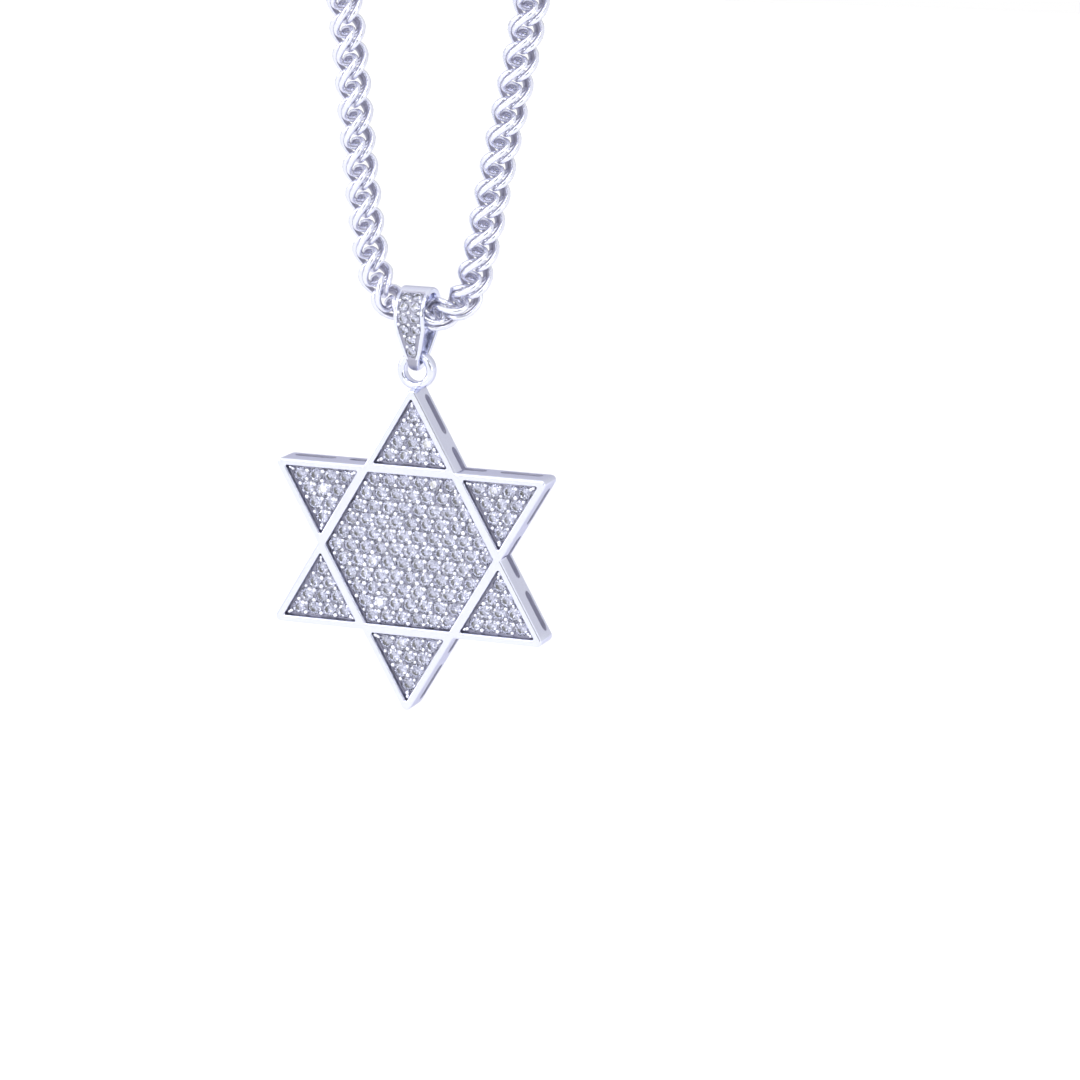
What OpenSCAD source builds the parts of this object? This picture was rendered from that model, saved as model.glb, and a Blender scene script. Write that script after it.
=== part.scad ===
/* [Star] */
// Distance across the star from tip to opposite tip
star_across = 29; // [26:0.5:34]
// Thickness of the star from front rim to back edge
star_t = 3; // [2.6:0.1:4]
// Width of the front rim along the outer edges
rim_w = 0.58; // [0.5:0.02:0.8]
// Width of the bars between the six points and the middle
bar_w = 0.8; // [0.6:0.02:1.1]
// Chamfer on the outer front edge
rim_chamfer = 0.15; // [0.05:0.01:0.25]
// Depth of the stone beds below the front rim
bed_depth = 0.6; // [0.4:0.05:0.8]
// Thickness of the plate that holds the stones
plate_t = 0.7; // [0.55:0.05:0.9]
// Thickness of the side wall around the hollow back
wall_t = 0.6; // [0.4:0.05:0.8]

/* [Side slots] */
// Wall left between a slot and the plate that holds the stones
slot_front = 0.3; // [0.2:0.05:0.5]
// Wall left between a slot and the back edge
slot_back = 0.45; // [0.3:0.05:0.6]
// Distance from a tip to the start of the long slot
slot_from_tip = 1.2; // [0.9:0.1:1.8]
// Length of the long slot
slot_len = 3.8; // [2.5:0.1:4.2]
// Length of the short slot on each side of an inner corner
corner_slot_len = 2.1; // [1.2:0.1:2.5]

/* [Stones] */
// Diameter of a stone in the star
stone_d = 1.24; // [1:0.02:1.26]
// Metal left between neighbouring stones in the star
stone_gap = 0.145; // [0.12:0.005:0.3]
// Diameter of a stone on the bail
bail_stone_d = 0.92; // [0.7:0.02:0.94]
// Metal left between neighbouring stones on the bail
bail_stone_gap = 0.13; // [0.12:0.01:0.2]

/* [Top ring] */
// Outer diameter of the ring on the star
ring_od = 3.3; // [3:0.1:3.8]
// Inner diameter of the ring on the star
ring_id = 1.95; // [1.8:0.05:2.2]
// Depth of the ring from front to back
ring_t = 1.2; // [0.9:0.1:1.3]
// How far the ring is let into the tip of the star
ring_sink = 0.55; // [0.4:0.05:0.8]

/* [Bail] */
// Width of the bail at its top
bail_w = 2.7; // [2.4:0.1:3.2]
// Width of the bail where it passes through the ring
bail_foot_w = 1.1; // [0.9:0.05:1.2]
// Thickness of the bail's strap
bail_t = 0.52; // [0.45:0.01:0.65]
// Clearance between the bail's foot and the ring's wire
foot_gap = 0.16; // [0.12:0.01:0.25]
// Clearance between the bail's top and the chain
chain_gap = 0.5; // [0.4:0.05:0.8]
// Height from the ring's wire to the middle of the chain
bail_h = 3.4; // [3.2:0.1:4.5]
// Width of the raised border beside the bail's stones
bail_border = 0.3; // [0.2:0.02:0.36]
// Depth of the stone bed in the bail
bail_bed = 0.12; // [0.05:0.01:0.2]

/* [Chain] */
// Width of the square chain across its corners
chain_d = 2.7; // [2.2:0.1:2.9]
// Height of the loop from the middle of the clasp to the bail
drop = 247; // [243:1:252]

/* [Clasp] */
// Diameter of the barrel clasp
clasp_d = 4.4; // [4:0.1:6]
// Length of the barrel clasp
clasp_len = 12; // [11:0.5:13]
// Depth of the bore that takes each end of the chain
clasp_bore = 1.5; // [1:0.1:2.5]

/* [Hidden] */

$fn = 48;
eps = 0.01;
// Clearance between a cut stone and its seat
seat_gap = 0.03;
// Clearance around the chain inside the clasp
end_gap = 0.1;
// How far the middle of the bail's top lies above the middle of the chain
crown_lift = 0.1;

// Heights: the loop hangs from the underside of the clasp at z = 0
clasp_z = clasp_d / 2;
chain_low = clasp_z - drop;
wire_z = chain_low - bail_h;
ring_mid_r = (ring_od + ring_id) / 4;
ring_z = wire_z - ring_mid_r;
tip_r = star_across / 2;
star_z = ring_z - ring_od / 2 + ring_sink - tip_r;
star_ring_y = ring_z - star_z;

// Star, drawn flat with its front toward +z and its middle plane at z = 0
side_r = tip_r / 2;
front_z = star_t / 2;
bed_z = front_z - bed_depth;
plate_back = bed_z - plate_t;
edge_len = tip_r / sqrt(3);
field_r = side_r - rim_w;
point_base = field_r + bar_w;
point_apex = 2 * (side_r - rim_w);
point_r = (point_apex - point_base) / 3;
slot_low = -star_t / 2 + slot_back;
slot_w = plate_back - slot_front - slot_low;
// Stones stand in rows, as many as the beds hold
stone_pitch = stone_d + stone_gap;
row_h = stone_pitch * sqrt(3) / 2;
stone_reach = stone_d / 2 + seat_gap;
stones_on_side = floor((field_r - stone_reach) / row_h) + 1;
stones_in_point = floor(3 * (point_r - stone_reach) / row_h) + 1;

// Cut of a stone, as shares of its diameter
table_share = 0.56;
crown_share = 0.15;
pavilion_share = 0.38;
// Bottom of a stone's seat, as a share of the stone's diameter
seat_hole_share = 0.32;
facets = 8;

// Bail, drawn as a teardrop around the wire and the chain
bail_stone_pitch = bail_stone_d + bail_stone_gap;
// The ring's wire turns inside the foot on its corners; the foot's radius is rounded up
rounding = 0.01;
foot_r = ceil((norm([ring_t / 2, (ring_od - ring_id) / 4]) + foot_gap) / rounding) * rounding;
crown_r = chain_d / 2 + chain_gap;
crown_z = chain_low + crown_lift;
lean = asin((crown_r - foot_r) / (crown_z - wire_z));
foot_out = foot_r + bail_t;
crown_out = crown_r + bail_t;
leaf_len = (crown_z - wire_z) * cos(lean);
// Rows of stones from the foot up: distance along the leaf in pitches, and how many stand side by side
bail_rows = [[0.75, 1], [1.75, 1], [2.72, 2], [3.72, 2], [4.72, 2], [5.72, 2]];
// The bail's front outline: height as a share of the way from wire to chain,
// and half width as a share of the way from foot width to top width
bail_outline = [[-0.15, 0], [0.14, 0.35], [0.75, 1]];

// Height of the route below as it is drawn, from its lowest point to the clasp
route_top = 247;
// Route of the chain from the clasp's left end through the bail to its right end,
// as sideways place and height above the lowest point
chain_route = [
    [-7, 247], [-17, 245.5], [-33, 238], [-44, 222], [-46.5, 200], [-41, 174],
    [-30.5, 138], [-19.5, 98], [-11.5, 58], [-7, 26], [-5.5, 13], [-4.5, 5.8],
    [-3.8, 3], [-2.3, 0.8], [0, 0], [2.3, 0.4], [4.4, 2], [5.5, 5.6], [7, 13.5],
    [9.4, 26], [14.5, 58], [22.5, 98], [32, 138], [41.5, 174], [46.5, 200],
    [44, 222], [33, 238], [17, 245.5], [7, 247]];
// A span of the route longer than this takes more than one ring
ring_step = 8;
chain_sides = 10;

// A cut stone with its girdle at z = 0 and its table up
module stone(d) {
    girdle = [for (i = [0 : facets - 1]) let(a = 360 * i / facets)
        [d / 2 * cos(a), d / 2 * sin(a), 0]];
    table = [for (i = [0 : facets - 1]) let(a = 360 * (i + 0.5) / facets)
        [d / 2 * table_share * cos(a), d / 2 * table_share * sin(a), d * crown_share]];
    culet = [[0, 0, -d * pavilion_share]];
    polyhedron(concat(girdle, table, culet), concat(
        [[for (i = [facets - 1 : -1 : 0]) facets + i]],
        [for (i = [0 : facets - 1]) [i, facets + i, (i + 1) % facets]],
        [for (i = [0 : facets - 1]) [facets + i, facets + (i + 1) % facets, (i + 1) % facets]],
        [for (i = [0 : facets - 1]) [i, (i + 1) % facets, 2 * facets]]));
}

// A cone-shaped seat for a stone, open through a plate of thickness t
module seat(d, t) {
    top_r = d / 2 + seat_gap;
    hole_r = d / 2 * seat_hole_share;
    translate([0, 0, -t - eps]) cylinder(r1 = hole_r, r2 = top_r, h = t + eps);
    cylinder(r = top_r, h = d);
}

// Places of the stones in the middle field, in rows
function field_spots(n) = [for (row = [1 - n : n - 1])
    let(count = 2 * n - 1 - abs(row))
    for (k = [0 : count - 1]) [(k - (count - 1) / 2) * stone_pitch, row * row_h]];

// Places of the stones in the upper point, packed toward its base
function point_spots(n) = [for (row = [0 : n - 1])
    let(count = n - row)
    for (k = [0 : count - 1])
        [(k - (count - 1) / 2) * stone_pitch,
         point_base + point_r + (row - (n - 1) / 3) * row_h]];

module at_field_spots() {
    for (p = field_spots(stones_on_side)) translate([p.x, p.y, bed_z]) children();
}

module at_point_spots() {
    for (turn = [0 : 60 : 300]) rotate([0, 0, turn])
        for (p = point_spots(stones_in_point)) translate([p.x, p.y, bed_z]) children();
}

// Stands the flat star up with its front toward -y
module stand_star() {
    translate([0, 0, star_z]) rotate([90, 0, 0]) children();
}

// A three-sided slab whose sides lie at distance r from the middle
module slab(r, low, high) {
    translate([0, 0, low]) rotate([0, 0, 90]) cylinder(r = 2 * r, h = high - low, $fn = 3);
}

module two_slabs(r, low, high) {
    for (turn = [0, 180]) rotate([0, 0, turn]) slab(r, low, high);
}

// A slab with its three outer front edges chamfered
module chamfered_slab(turn) {
    rotate([0, 0, turn]) difference() {
        slab(side_r, -front_z, front_z);
        for (side = [30, 150, 270]) rotate([0, 0, side])
            translate([side_r, 0, front_z]) rotate([0, 45, 0])
                cube([rim_chamfer * sqrt(2), 2 * star_across, rim_chamfer * sqrt(2)], center = true);
    }
}

// The beds that the stones lie in, open to the front
module beds() {
    height = bed_depth + 1;
    translate([0, 0, bed_z]) cylinder(r = field_r * 2 / sqrt(3), h = height, $fn = 6);
    for (turn = [0 : 60 : 300]) rotate([0, 0, turn])
        translate([0, point_base + point_r, bed_z])
            rotate([0, 0, 90]) cylinder(r = 2 * point_r, h = height, $fn = 3);
}

// The slots along the two edges that meet at one tip
module tip_slots() {
    for (hand = [0, 1]) mirror([hand, 0, 0])
        translate([0, tip_r, 0]) rotate([0, 0, -60]) {
            translate([slot_from_tip, -2 * wall_t, slot_low])
                cube([slot_len, 3 * wall_t, slot_w]);
            translate([edge_len - corner_slot_len, -2 * wall_t, slot_low])
                cube([corner_slot_len + eps, 3 * wall_t, slot_w]);
        }
}

// The ring soldered on the upper tip, with its edges eased
module top_ring() {
    ease = ring_t / 5;
    wire = (ring_od - ring_id) / 2;
    translate([0, star_ring_y, 0]) rotate_extrude() translate([ring_mid_r, 0]) {
        square([wire - 2 * ease, ring_t], center = true);
        square([wire, ring_t - 2 * ease], center = true);
        for (x = [-1, 1], y = [-1, 1])
            translate([x * (wire / 2 - ease), y * (ring_t / 2 - ease)]) circle(r = ease, $fn = 24);
    }
}

module star_frame() color("lavender") stand_star() {
    difference() {
        union() {
            chamfered_slab(0);
            chamfered_slab(180);
        }
        beds();
        two_slabs(side_r - wall_t, -front_z - 1, plate_back);
        for (turn = [0 : 60 : 300]) rotate([0, 0, turn]) tip_slots();
        at_field_spots() seat(stone_d, plate_t);
        at_point_spots() seat(stone_d, plate_t);
    }
    top_ring();
}

module middle_stones() color("white") stand_star() at_field_spots() stone(stone_d);

module point_stones() color("white") stand_star() at_point_spots() stone(stone_d);

// Side view of the bail: two circles joined by their tangents, grown by t
module teardrop(t) {
    low = foot_r + t;
    high = crown_r + t;
    translate([0, wire_z]) circle(r = low);
    translate([0, crown_z]) circle(r = high);
    polygon([
        [-low * cos(lean), wire_z - low * sin(lean)],
        [low * cos(lean), wire_z - low * sin(lean)],
        [high * cos(lean), crown_z - high * sin(lean)],
        [-high * cos(lean), crown_z - high * sin(lean)]]);
}

// A side view carried across the bail; its first axis is y, its second z
module across_bail(w) {
    rotate([90, 0, 90]) linear_extrude(height = w, center = true) children();
}

// Half width of the bail's front outline at row i, less an inset
function outline_x(i, inset) =
    bail_foot_w / 2 + bail_outline[i][1] * (bail_w - bail_foot_w) / 2 - inset;
function outline_z(i) = wire_z + bail_outline[i][0] * bail_h;

// Front view of the bail, less an inset at both sides
module front_outline(inset) {
    low = wire_z - foot_out - 1;
    high = crown_z + crown_out + 1;
    last = len(bail_outline) - 1;
    right = concat([[outline_x(0, inset), low]],
        [for (i = [0 : last]) [outline_x(i, inset), outline_z(i)]],
        [[outline_x(last, inset), high]]);
    left = [for (i = [len(right) - 1 : -1 : 0]) [-right[i].x, right[i].y]];
    polygon(concat(right, left));
}

// The front view carried from front to back
module through_bail(depth) {
    rotate([90, 0, 0]) linear_extrude(height = depth, center = true) children();
}

// Place along the bail's front leaf: [y, z, tilt above level] at distance s from the foot
function leaf_spot(s) = s < leaf_len
    ? [-foot_out * cos(lean) - s * sin(lean),
       wire_z - foot_out * sin(lean) + s * cos(lean), -lean]
    : let(tilt = -lean + (s - leaf_len) / crown_out * 180 / PI)
      [-crown_out * cos(tilt), crown_z + crown_out * sin(tilt), tilt];

module at_bail_spots() {
    for (row = bail_rows) let(spot = leaf_spot(row[0] * bail_stone_pitch))
        translate([0, spot.x, spot.y]) rotate([90 - spot.z, 0, 0])
            for (k = [0 : row[1] - 1])
                translate([(k - (row[1] - 1) / 2) * bail_stone_pitch, 0, -bail_bed]) children();
}

module bail() color("lavender") difference() {
    intersection() {
        across_bail(bail_w) teardrop(bail_t);
        through_bail(4 * crown_out) front_outline(0);
    }
    across_bail(bail_w + 1) teardrop(0);
    // the bed, cut into the front leaf between its borders
    bed_low = leaf_spot(0.15 * bail_stone_pitch);
    bed_high = leaf_spot(6.3 * bail_stone_pitch);
    intersection() {
        difference() {
            across_bail(bail_w) teardrop(bail_t + 1);
            across_bail(bail_w + 1) teardrop(bail_t - bail_bed);
        }
        through_bail(4 * crown_out) front_outline(bail_border);
        translate([-bail_w, -2 * crown_out, bed_low.y])
            cube([2 * bail_w, 2 * crown_out + bed_high.x, bed_high.y - bed_low.y]);
    }
    at_bail_spots() seat(bail_stone_d, bail_t);
}

module bail_stones() color("white") at_bail_spots() stone(bail_stone_d);

// A smooth curve through four points, at share t between the middle two
function curve(a, b, c, d, t) = 0.5 * (2 * b + (c - a) * t
    + (2 * a - 5 * b + 4 * c - d) * t * t + (3 * b - a - 3 * c + d) * t * t * t);

// The route in the part's own frame, its top height following the drop
chain_points = [for (p = chain_route) [p.x, chain_low + p.y * drop / route_top]];
last_point = len(chain_points) - 1;
chain_ends = [for (hand = [-1, 1]) [hand * (clasp_len / 2 - clasp_bore + end_gap), clasp_z]];
chain_line = concat([chain_ends[0]],
    [for (i = [0 : last_point - 1])
        let(a = chain_points[max(i - 1, 0)], b = chain_points[i], c = chain_points[i + 1],
            d = chain_points[min(i + 2, last_point)],
            steps = max(2, round(norm(c - b) / ring_step)))
        for (k = [0 : steps - 1]) curve(a, b, c, d, k / steps)],
    [chain_points[last_point], chain_ends[1]]);

// A tube swept along a flat line of points, squared to the line at every ring
module swept(line, d, sides) {
    n = len(line);
    rings = [for (i = [0 : n - 1])
        let(way = line[min(i + 1, n - 1)] - line[max(i - 1, 0)], out = [-way.y, way.x] / norm(way))
        for (k = [0 : sides - 1]) let(a = 360 * k / sides)
            [line[i].x + out.x * d / 2 * cos(a), d / 2 * sin(a), line[i].y + out.y * d / 2 * cos(a)]];
    skin = [for (i = [0 : n - 2], k = [0 : sides - 1])
        let(here = i * sides + k, next = i * sides + (k + 1) % sides)
        [here, here + sides, next + sides, next]];
    polyhedron(rings, concat(skin,
        [[for (k = [0 : sides - 1]) k]],
        [[for (k = [sides - 1 : -1 : 0]) (n - 1) * sides + k]]), convexity = 10);
}

module chain() color("gainsboro") swept(chain_line, chain_d, chain_sides);

// The barrel clasp, one closed piece with a bore at each end for the chain
module clasp() color("gainsboro") translate([0, 0, clasp_z]) rotate([0, 90, 0]) difference() {
    collar = clasp_d / 8;
    union() {
        cylinder(d = clasp_d, h = clasp_len - 4 * collar, center = true);
        for (hand = [-1, 1]) translate([0, 0, hand * (clasp_len / 2 - collar / 2)])
            cylinder(d = clasp_d - collar, h = collar, center = true);
        cylinder(d = clasp_d - 2 * collar + collar / 2, h = clasp_len - collar, center = true);
    }
    for (hand = [-1, 1]) translate([0, 0, hand * clasp_len / 2])
        cylinder(d = chain_d + 2 * end_gap, h = 2 * clasp_bore, center = true);
}

star_frame();
middle_stones();
point_stones();
bail();
bail_stones();
chain();
clasp();
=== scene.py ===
import math
import random

import bmesh
import bpy
import numpy as np
from mathutils import Matrix, Vector, geometry


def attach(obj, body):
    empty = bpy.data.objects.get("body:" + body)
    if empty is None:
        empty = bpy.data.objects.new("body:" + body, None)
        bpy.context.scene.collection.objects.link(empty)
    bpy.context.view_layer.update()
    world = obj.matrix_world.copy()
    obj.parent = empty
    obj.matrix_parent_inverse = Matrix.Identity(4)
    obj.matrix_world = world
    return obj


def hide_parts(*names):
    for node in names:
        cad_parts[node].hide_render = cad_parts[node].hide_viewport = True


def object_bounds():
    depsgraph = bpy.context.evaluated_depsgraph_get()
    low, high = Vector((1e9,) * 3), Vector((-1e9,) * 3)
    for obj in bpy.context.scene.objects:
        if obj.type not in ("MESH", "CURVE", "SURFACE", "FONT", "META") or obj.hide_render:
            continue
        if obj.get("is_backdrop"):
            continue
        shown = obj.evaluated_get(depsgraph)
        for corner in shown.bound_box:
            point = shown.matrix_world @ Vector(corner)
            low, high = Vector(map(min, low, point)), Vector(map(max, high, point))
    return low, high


# All shapes are written in millimetres and scaled once, when a mesh is made.
metre = 0.001
mergeDistance = 0.0000002
leastRadius = 0.004
holeMargin = 0.995


# Makes one named piece: merges doubled points, turns faces outward and shades soft edges smooth.
# A sharp angle of 0 keeps every facet flat.
def addPiece(name, shape, body, materials, replaced=(), sharpAngle=30):
    mesh = bpy.data.meshes.new(name)
    mesh.from_pydata([tuple(float(c) * metre for c in v) for v in shape.verts], [], shape.faces)
    mesh.polygons.foreach_set("material_index", shape.kinds)
    work = bmesh.new()
    work.from_mesh(mesh)
    bmesh.ops.remove_doubles(work, verts=work.verts, dist=mergeDistance)
    bmesh.ops.recalc_face_normals(work, faces=work.faces)
    work.to_mesh(mesh)
    work.free()
    mesh.polygons.foreach_set("use_smooth", [sharpAngle > 0] * len(mesh.polygons))
    if sharpAngle:
        mesh.set_sharp_from_angle(angle=math.radians(sharpAngle))
    obj = bpy.data.objects.new(name, mesh)
    bpy.context.scene.collection.objects.link(obj)
    for material in materials:
        mesh.materials.append(material)
    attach(obj, body)
    if replaced:
        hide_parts(*replaced)
    print("made", name, "with", sum(p.loop_total - 2 for p in mesh.polygons), "triangles")


# A growing mesh of points and faces. kind is the material number that the next faces get.
class Shape:
    def __init__(self):
        self.verts = []
        self.faces = []
        self.kinds = []
        self.kind = 0

    def add(self, points):
        start = len(self.verts)
        self.verts.extend([tuple(p) for p in points])
        return list(range(start, len(self.verts)))

    def strip(self, low, high, closed=True):
        count = len(low)
        for i in range(count if closed else count - 1):
            j = (i + 1) % count
            self.face((low[i], low[j], high[j], high[i]))

    def face(self, ids):
        self.faces.append(tuple(ids))
        self.kinds.append(self.kind)

    def faceAll(self, ids, faces):
        for f in faces:
            self.face([ids[i] for i in f])


def circle(steps, radius, middle=(0.0, 0.0)):
    return [(middle[0] + radius * math.cos(2 * math.pi * i / steps),
             middle[1] + radius * math.sin(2 * math.pi * i / steps)) for i in range(steps)]


# Rounded regular polygon around a middle point, its sides at distance side.
def roundedPolygon(count, side, radius, turn=0.0, middle=(0.0, 0.0), steps=4):
    radius = max(radius, leastRadius)
    half = math.pi / count
    reach = (side - radius) / math.cos(half)
    points = []
    for k in range(count):
        corner = turn + 2 * math.pi * k / count
        cx = middle[0] + reach * math.cos(corner)
        cy = middle[1] + reach * math.sin(corner)
        for i in range(steps + 1):
            a = corner + half * (2 * i / steps - 1)
            points.append((cx + radius * math.cos(a), cy + radius * math.sin(a)))
    return points


# The star's outline inset by some distance, with rounded tips and inner corners.
def starOutline(inset):
    tipSteps, cornerSteps = star["tipSteps"], star["cornerSteps"]
    side = star["across"] / 4 - inset
    tipRadius = max(star["tipRadius"] - inset, leastRadius)
    cornerRadius = star["cornerRadius"] + inset
    points = []
    for k in range(6):
        tip = math.radians(90 + 60 * k)
        reach = 2 * (side - tipRadius)
        for i in range(tipSteps + 1):
            a = tip + math.radians(60) * (2 * i / tipSteps - 1)
            points.append((reach * math.cos(tip) + tipRadius * math.cos(a),
                           reach * math.sin(tip) + tipRadius * math.sin(a)))
        corner = tip + math.radians(30)
        reach = 2 / math.sqrt(3) * (side + cornerRadius)
        for i in range(cornerSteps + 1):
            a = corner + math.pi + math.radians(30) * (1 - 2 * i / cornerSteps)
            points.append((reach * math.cos(corner) + cornerRadius * math.cos(a),
                           reach * math.sin(corner) + cornerRadius * math.sin(a)))
    return points


# A flat region with round holes, and with other holes if given: its points, its triangles and
# the points of each loop, the outline's first.
def regionWithHoles(outline, centres, radius, holeSteps, extraHoles=()):
    points = list(outline)
    edges = [(i, (i + 1) % len(outline)) for i in range(len(outline))]
    loops = [list(range(len(outline)))]
    for c in centres:
        start = len(points)
        points.extend(circle(holeSteps, radius, c))
        loops.append(list(range(start, start + holeSteps)))
        edges.extend((start + i, start + (i + 1) % holeSteps) for i in range(holeSteps))
    for hole in extraHoles:
        start = len(points)
        points.extend(hole)
        loops.append(list(range(start, start + len(hole))))
        edges.extend((start + i, start + (i + 1) % len(hole)) for i in range(len(hole)))
    made = geometry.delaunay_2d_cdt([Vector(p) for p in points], edges, [], 1, 1e-6)
    outVerts, outFaces, origins = made[0], made[2], made[3]
    where = {}
    for i, source in enumerate(origins):
        for s in source:
            where[s] = i
    mids = np.array([np.mean([outVerts[i] for i in f], axis=0) for f in outFaces])
    keep = np.ones(len(outFaces), bool)
    if len(centres):
        gap = np.linalg.norm(mids[:, None] - np.array(centres)[None], axis=2).min(axis=1)
        keep &= gap > radius * math.cos(math.pi / holeSteps) * holeMargin
    for hole in extraHoles:
        keep &= ~insideLoop(mids, np.array(hole))
    keep &= insideLoop(mids, np.array(outline))
    faces = [tuple(f) for f, k in zip(outFaces, keep) if k]
    return [tuple(v) for v in outVerts], faces, [[where[i] for i in loop] for loop in loops]


# Which of the points lie inside a closed loop.
def insideLoop(points, loop):
    inside = np.zeros(len(points), bool)
    x, y = points[:, 0], points[:, 1]
    for a, b in zip(loop, np.roll(loop, -1, axis=0)):
        crosses = (a[1] > y) != (b[1] > y)
        with np.errstate(divide="ignore", invalid="ignore"):
            at = (b[0] - a[0]) * (y - a[1]) / (b[1] - a[1]) + a[0]
        inside ^= crosses & (x < at)
    return inside


# Adds one node to a material's or a world's tree.
def addNode(tree, kind, **values):
    node = tree.nodes.new(kind)
    for key, value in values.items():
        setattr(node, key, value)
    return node


# Shared by all metals: the tint at grazing angles, and how fine the noise is.
edgeTint = (0.62, 0.62, 0.74)
noiseDetail = 4
metalLook = {"color": (0.79, 0.81, 0.94), "roughness": 0.15, "roughnessSpread": 0.10,
             "grainScale": 1400.0, "bump": 0.10, "bumpDepth": 0.00001}
# the beds' floors and walls are darker than the other metal: painted shade between the stones
bedShadeLook = {"color": (0.38, 0.38, 0.47), "roughness": 0.36, "roughnessSpread": 0.12,
           "grainScale": 2500.0, "bump": 0.2, "bumpDepth": 0.00001}
# the hollow's inner surfaces are darker than the other metal: painted shade inside the hollow
insideShadeLook = {"color": (0.50, 0.50, 0.60), "roughness": 0.50, "roughnessSpread": 0.14,
              "grainScale": 1800.0, "bump": 0.25, "bumpDepth": 0.00002}
# the seats under the stones are darker than the other metal: painted shade
seatShadeLook = {"color": (0.70, 0.70, 0.78), "roughness": 0.30, "roughnessSpread": 0.10,
            "grainScale": 2500.0, "bump": 0.1, "bumpDepth": 0.00001}
# the grains' colour is brighter than the other metal: painted highlight
grainHighlightLook = {"color": (0.90, 0.91, 0.97), "roughness": 0.22, "roughnessSpread": 0.06,
             "grainScale": 1500.0, "bump": 0.05, "bumpDepth": 0.00001}
chainLook = {"color": (0.82, 0.83, 0.94), "roughness": 0.24, "roughnessSpread": 0.10,
             "grainScale": 1800.0, "bump": 0.12, "bumpDepth": 0.00001}
# a darker metal on the links' inner faces: painted shade
chainShadeLook = {"color": (0.46, 0.45, 0.54), "roughness": 0.40, "roughnessSpread": 0.12,
              "grainScale": 1800.0, "bump": 0.15, "bumpDepth": 0.00001}
# the stones' tint is darker than clear stone: painted shade
stoneShadeLook = {"color": (0.54, 0.56, 0.74), "ior": 2.4, "roughness": 0.0}


# Metal of one colour, with a fine noise in its roughness and a faint bump.
def metalMaterial(name, look):
    material = bpy.data.materials.new(name)
    material.use_nodes = True
    tree = material.node_tree
    shader = tree.nodes["Principled BSDF"]
    shader.inputs["Base Color"].default_value = (*look["color"], 1)
    shader.inputs["Metallic"].default_value = 1
    shader.inputs["Specular Tint"].default_value = (*edgeTint, 1)
    place = addNode(tree, "ShaderNodeTexCoord")
    noise = addNode(tree, "ShaderNodeTexNoise")
    noise.inputs["Scale"].default_value = look["grainScale"]
    noise.inputs["Detail"].default_value = noiseDetail
    tree.links.new(place.outputs["Object"], noise.inputs["Vector"])
    spread = addNode(tree, "ShaderNodeMapRange")
    spread.inputs["To Min"].default_value = look["roughness"] - look["roughnessSpread"] / 2
    spread.inputs["To Max"].default_value = look["roughness"] + look["roughnessSpread"] / 2
    tree.links.new(noise.outputs["Fac"], spread.inputs["Value"])
    tree.links.new(spread.outputs["Result"], shader.inputs["Roughness"])
    bump = addNode(tree, "ShaderNodeBump")
    bump.inputs["Strength"].default_value = look["bump"]
    bump.inputs["Distance"].default_value = look["bumpDepth"]
    tree.links.new(noise.outputs["Fac"], bump.inputs["Height"])
    tree.links.new(bump.outputs["Normal"], shader.inputs["Normal"])
    return material


# Clear cut stone, tinted darker than clear stone as painted shade, so that it reads against the
# bed.
def stoneMaterial(name, look):
    material = bpy.data.materials.new(name)
    material.use_nodes = True
    shader = material.node_tree.nodes["Principled BSDF"]
    shader.inputs["Base Color"].default_value = (*look["color"], 1)
    shader.inputs["Transmission Weight"].default_value = 1
    shader.inputs["IOR"].default_value = look["ior"]
    shader.inputs["Roughness"].default_value = look["roughness"]
    return material


star = {"across": 29.0, "thickness": 3.0, "rim": 0.58, "bar": 0.8, "bedDepth": 0.6,
        "plate": 0.7, "wall": 0.6, "edge": 0.17, "bedEdge": 0.11, "backEdge": 0.08,
        "tipRadius": 0.42, "cornerRadius": 0.12, "bedCorner": 0.12, "height": -265.1125,
        "slotFront": 0.3, "slotBack": 0.45, "slotFromTip": 1.2, "slotLength": 3.8,
        "cornerSlot": 2.1, "slotEndSteps": 5, "seatSteps": 20, "seatSink": 0.05,
        "tipSteps": 5, "cornerSteps": 3, "edgeSteps": 5}
stones = {"width": 1.24, "gap": 0.145, "seatGap": 0.03, "table": 0.56, "crown": 0.15,
          "pavilion": 0.40, "girdle": 0.02, "starReach": 0.80, "starHeight": 0.55,
          "lowReach": 0.55, "lowHeight": 0.50, "seatHole": 0.32, "tilt": 9.0, "seed": 11}


# The sizes that follow from the star's and the stones' own.
def starMeasures():
    side = star["across"] / 4
    front = star["thickness"] / 2
    pitch = stones["width"] + stones["gap"]
    fieldSide = side - star["rim"]
    base = fieldSide + star["bar"]
    pointSide = (2 * fieldSide - base) / 3
    reach = stones["width"] / 2 + stones["seatGap"]
    rowHeight = pitch * math.sqrt(3) / 2
    return {"side": side, "front": front, "bed": front - star["bedDepth"],
            "plateBack": front - star["bedDepth"] - star["plate"], "pitch": pitch,
            "row": rowHeight, "field": fieldSide, "base": base, "point": pointSide,
            "onSide": math.floor((fieldSide - reach) / rowHeight) + 1,
            "inPoint": math.floor(3 * (pointSide - reach) / rowHeight) + 1}


measures = starMeasures()


# A flat point turned about the star's middle.
def turned(point, degrees):
    a = math.radians(degrees)
    return (point[0] * math.cos(a) - point[1] * math.sin(a),
            point[0] * math.sin(a) + point[1] * math.cos(a))


# The stones' places in the middle field.
def fieldSpots():
    n = measures["onSide"]
    return [((k - (2 * n - 2 - abs(row)) / 2) * measures["pitch"], row * measures["row"])
            for row in range(1 - n, n) for k in range(2 * n - 1 - abs(row))]


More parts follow.
